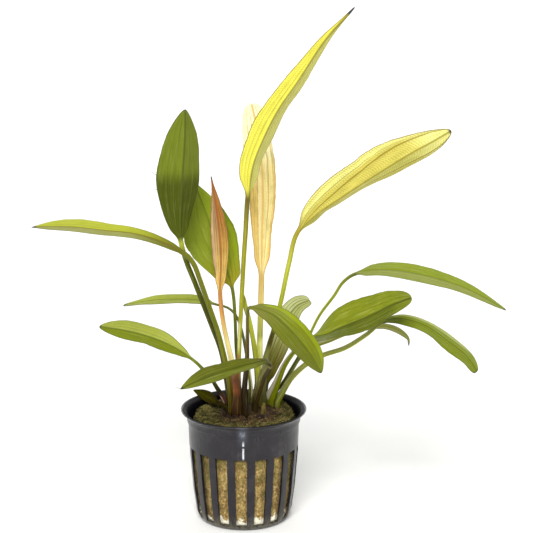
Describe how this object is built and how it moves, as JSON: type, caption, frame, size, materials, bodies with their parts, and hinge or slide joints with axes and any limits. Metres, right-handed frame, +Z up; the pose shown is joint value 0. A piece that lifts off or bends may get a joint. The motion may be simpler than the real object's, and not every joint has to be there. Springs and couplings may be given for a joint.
{
  "type": "potted aquarium plant",
  "caption": "Young amazon sword plant: lance-shaped green and yellowing leaves on thin stalks, rising and arching from a rock wool plug in a dark slotted plastic net pot with a flared rim.",
  "frame": {"origin": "middle of the pot's flat foot, on its underside", "axes": "+Z up, +X to the right as seen from the front, -Y towards the front"},
  "size_m": [0.1975, 0.0843, 0.225],
  "materials": {
    "black_plastic": "satin",
    "rock_wool": "matte",
    "crown_bark": "matte",
    "tall_yellow_leaf_skin": "satin",
    "orange_leaf_skin": "satin",
    "right_yellow_leaf_skin": "satin",
    "left_upright_leaf_skin": "satin",
    "broad_leaf_skin": "satin",
    "withered_leaf_skin": "satin",
    "bare_stalk_skin": "satin",
    "left_long_leaf_skin": "satin",
    "left_narrow_leaf_skin": "satin",
    "left_low_leaf_skin": "satin",
    "rim_leaf_skin": "satin",
    "front_low_leaf_skin": "satin",
    "front_right_leaf_skin": "satin",
    "pale_leaf_skin": "satin",
    "right_arched_leaf_skin": "satin",
    "right_broad_leaf_skin": "satin",
    "right_low_leaf_skin": "satin",
    "right_small_leaf_skin": "satin"
  },
  "bodies": {
    "root": {"pot": "black_plastic", "rock_wool_plug": "rock_wool", "crown": "crown_bark", "tall_yellow_leaf": "tall_yellow_leaf_skin", "orange_leaf": "orange_leaf_skin", "right_yellow_leaf": "right_yellow_leaf_skin", "left_upright_leaf": "left_upright_leaf_skin", "broad_leaf": "broad_leaf_skin", "withered_leaf": "withered_leaf_skin", "bare_stalk": "bare_stalk_skin", "left_long_leaf": "left_long_leaf_skin", "left_narrow_leaf": "left_narrow_leaf_skin", "left_low_leaf": "left_low_leaf_skin", "rim_leaf": "rim_leaf_skin", "front_low_leaf": "front_low_leaf_skin", "front_right_leaf": "front_right_leaf_skin", "pale_leaf": "pale_leaf_skin", "right_arched_leaf": "right_arched_leaf_skin", "right_broad_leaf": "right_broad_leaf_skin", "right_low_leaf": "right_low_leaf_skin", "right_small_leaf": "right_small_leaf_skin"}
  },
  "joints": []
}
